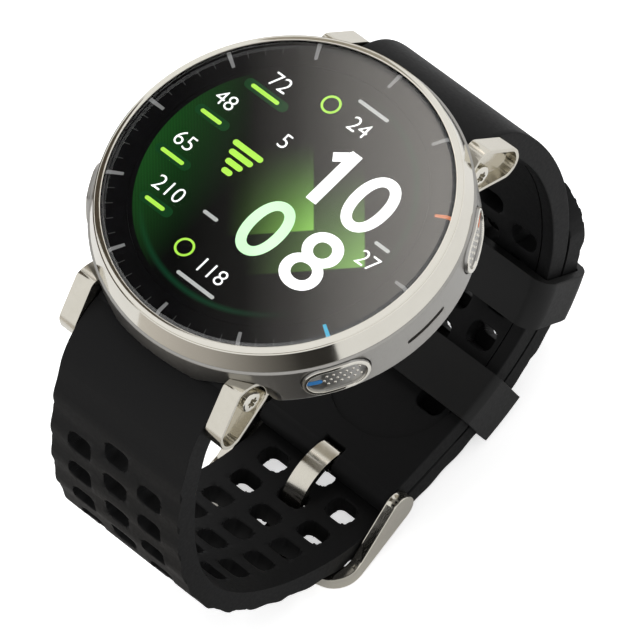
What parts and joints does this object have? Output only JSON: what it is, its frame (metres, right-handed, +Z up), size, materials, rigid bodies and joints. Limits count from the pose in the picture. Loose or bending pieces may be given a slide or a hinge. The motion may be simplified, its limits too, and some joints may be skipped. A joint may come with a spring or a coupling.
{
  "type": "golf gps watch",
  "caption": "Round GPS sports watch with a digital dial under flat glass, side buttons, screwed lugs and a perforated rubber strap closed by a pin buckle and sliding keepers.",
  "frame": {"origin": "middle of the bottom of the whole watch, as it stands buckled on its buckle and lower keeper", "axes": "+Z up, the way the dial faces; +Y from the 6 o'clock strap to the 12 o'clock strap; +X towards 3 o'clock"},
  "size_m": [0.0476, 0.0734, 0.0666],
  "materials": {
    "crystal": "clear scratch-resistant glass over a dark display",
    "dial_black": "black print under the glass",
    "mark_grey": "grey hour marks",
    "orange": "orange accent",
    "blue": "blue accent",
    "display": "AMOLED display, black with a green glow",
    "seal_rubber": "soft black rubber",
    "polished_steel": "polished stainless steel, slightly warm",
    "satin_steel": "fine bead-blasted stainless steel",
    "satin_metal_small": "plain machined steel",
    "antenna_metal": "stamped antenna strip",
    "black_plastic": "glass-filled black plastic",
    "battery_case": "foil-cased cell",
    "circuit_board": "green circuit board",
    "sensor_glass": "dark lens over the pulse sensor",
    "contact_metal": "gold-plated pads",
    "strap_rubber": "matt black silicone rubber"
  },
  "bodies": {
    "watch": {"glass": "crystal", "dial_ring": "dial_black", "hour_marks": "mark_grey", "hour_mark_orange": "orange", "hour_mark_blue": "blue", "display_panel": "display", "glass_gasket": "seal_rubber", "bezel": "polished_steel", "gps_antenna": "antenna_metal", "inner_frame": "black_plastic", "battery": "battery_case", "main_board": "circuit_board", "vibration_motor": "satin_metal_small", "speaker": "black_plastic", "speaker_mesh": "satin_metal_small", "button_switches": "black_plastic", "mid_case": "satin_steel", "case_seal": "seal_rubber", "case_back": "satin_steel", "case_back_screws": "satin_metal_small", "sensor_window": "sensor_glass", "sensor_board": "circuit_board", "charging_contacts": "contact_metal", "button_seals": "seal_rubber", "lug_screws": "polished_steel", "strap_tubes": "satin_metal_small", "short_strap": "strap_rubber", "long_strap": "strap_rubber", "spring_bar": "satin_metal_small", "lug_12_right": "polished_steel", "lug_12_left": "polished_steel", "lug_6_right": "polished_steel", "lug_6_left": "polished_steel"},
    "upper_keeper": {"upper_keeper": "strap_rubber"},
    "lower_keeper": {"lower_keeper": "strap_rubber"},
    "buckle_frame": {"buckle_frame": "polished_steel"},
    "buckle_tongue": {"buckle_tongue": "polished_steel"},
    "button_2": {"button_2": "polished_steel", "button_2_inlay": "orange"},
    "button_4": {"button_4": "polished_steel", "button_4_inlay": "blue"},
    "button_8": {"button_8": "polished_steel"},
    "button_10": {"button_10": "polished_steel"}
  },
  "joints": [
    {"name": "button_2_press", "type": "slide", "parent": "watch", "child": "button_2", "axis": [-0.8572, -0.515, 0], "range_m": [0, 0.0004], "stiffness_N_per_m": 2000, "springref_m": -0.0003},
    {"name": "button_4_press", "type": "slide", "parent": "watch", "child": "button_4", "axis": [-0.8572, 0.515, 0], "range_m": [0, 0.0004], "stiffness_N_per_m": 2000, "springref_m": -0.0003},
    {"name": "button_8_press", "type": "slide", "parent": "watch", "child": "button_8", "axis": [0.8572, 0.515, 0], "range_m": [0, 0.0004], "stiffness_N_per_m": 2000, "springref_m": -0.0003},
    {"name": "button_10_press", "type": "slide", "parent": "watch", "child": "button_10", "axis": [0.8572, -0.515, 0], "range_m": [0, 0.0004], "stiffness_N_per_m": 2000, "springref_m": -0.0003},
    {"name": "upper_keeper_slide", "type": "hinge", "parent": "watch", "child": "upper_keeper", "pos_m": [0, 0.01091, 0.02875], "axis": [1, 0, 0], "range_deg": [-4.5, 4.5]},
    {"name": "lower_keeper_slide", "type": "hinge", "parent": "watch", "child": "lower_keeper", "pos_m": [0, 0.00481, 0.03779], "axis": [1, 0, 0], "range_deg": [-3.4, 3.4]},
    {"name": "buckle_frame_hinge", "type": "hinge", "parent": "watch", "child": "buckle_frame", "pos_m": [0, -0.00376, 0.00508], "axis": [1, 0, 0], "range_deg": [-1.5, 0]},
    {"name": "buckle_tongue_hinge", "type": "hinge", "parent": "watch", "child": "buckle_tongue", "pos_m": [0, -0.00376, 0.00508], "axis": [1, 0, 0], "range_deg": [0, 2.5]}
  ]
}
